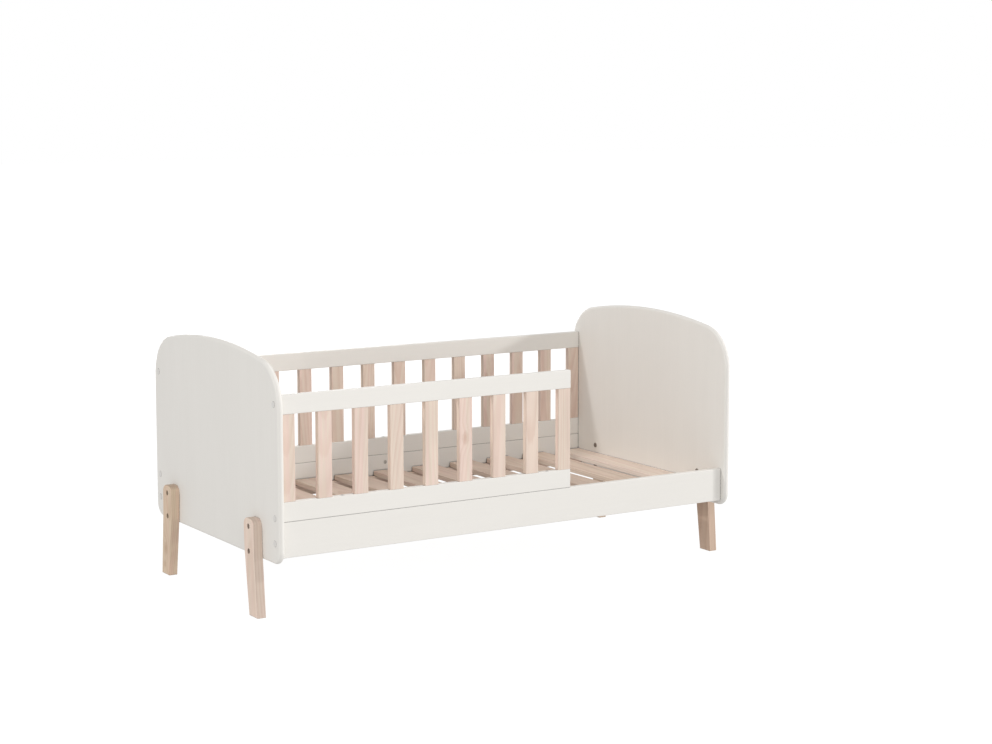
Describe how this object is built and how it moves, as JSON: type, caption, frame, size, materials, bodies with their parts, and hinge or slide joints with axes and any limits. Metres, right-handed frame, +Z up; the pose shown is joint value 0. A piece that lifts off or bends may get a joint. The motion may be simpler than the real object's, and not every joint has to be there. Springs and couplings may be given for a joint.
{
  "type": "toddler bed",
  "caption": "Toddler bed with rounded white end panels, splayed pine legs, slatted base, full back guard and a partial front guard beside an open entry.",
  "frame": {"origin": "on the floor under the middle of the bed", "axes": "+X along the bed's length towards the right end panel, -Y the front with the entry, +Z up"},
  "size_m": [1.49, 0.78, 0.6919],
  "materials": {
    "white_lacquer": "satin white lacquer with a trace of grain",
    "guard_pine": "matte whitewashed pine",
    "base_pine": "matte planed pine",
    "leg_pine": "matte whitewashed pine with knots",
    "white_cap": "matte white plastic",
    "beech": "raw turned beech",
    "dark_steel": "bronzed steel",
    "zinc_steel": "zinc plated steel"
  },
  "bodies": {
    "root": {"back_guard_bottom_rail": "white_lacquer", "back_guard_slat_01": "guard_pine", "back_guard_slat_02": "guard_pine", "back_guard_slat_03": "guard_pine", "back_guard_slat_04": "guard_pine", "back_guard_slat_05": "guard_pine", "back_guard_slat_06": "guard_pine", "back_guard_slat_07": "guard_pine", "back_guard_slat_08": "guard_pine", "back_guard_slat_09": "guard_pine", "back_guard_slat_10": "guard_pine", "back_guard_slat_11": "guard_pine", "back_guard_slat_12": "guard_pine", "back_guard_slat_13": "guard_pine", "back_guard_slat_14": "guard_pine", "back_guard_top_rail": "white_lacquer", "back_side_rail": "white_lacquer", "bed_slat_01": "base_pine", "bed_slat_02": "base_pine", "bed_slat_03": "base_pine", "bed_slat_04": "base_pine", "bed_slat_05": "base_pine", "bed_slat_06": "base_pine", "bed_slat_07": "base_pine", "bed_slat_08": "base_pine", "bed_slat_09": "base_pine", "bed_slat_10": "base_pine", "bed_slat_11": "base_pine", "bolt_caps": "white_cap", "end_panel_left": "white_lacquer", "end_panel_right": "white_lacquer", "frame_barrel_nuts": "zinc_steel", "frame_bolts": "zinc_steel", "front_guard_bottom_rail": "white_lacquer", "front_guard_slat_01": "guard_pine", "front_guard_slat_02": "guard_pine", "front_guard_slat_03": "guard_pine", "front_guard_slat_04": "guard_pine", "front_guard_slat_05": "guard_pine", "front_guard_slat_06": "guard_pine", "front_guard_slat_07": "guard_pine", "front_guard_slat_08": "guard_pine", "front_guard_slat_09": "guard_pine", "front_guard_top_rail": "white_lacquer", "front_side_rail": "white_lacquer", "guard_dowels": "beech", "guard_tie_bolts": "zinc_steel", "guard_tie_nuts": "zinc_steel", "ledger_screws": "zinc_steel", "leg_back_left": "leg_pine", "leg_back_right": "leg_pine", "leg_bolts": "dark_steel", "leg_front_left": "leg_pine", "leg_front_right": "leg_pine", "leg_sleeve_nuts": "dark_steel", "slat_ledger_back": "base_pine", "slat_ledger_front": "base_pine", "slat_screws": "zinc_steel"}
  },
  "joints": []
}
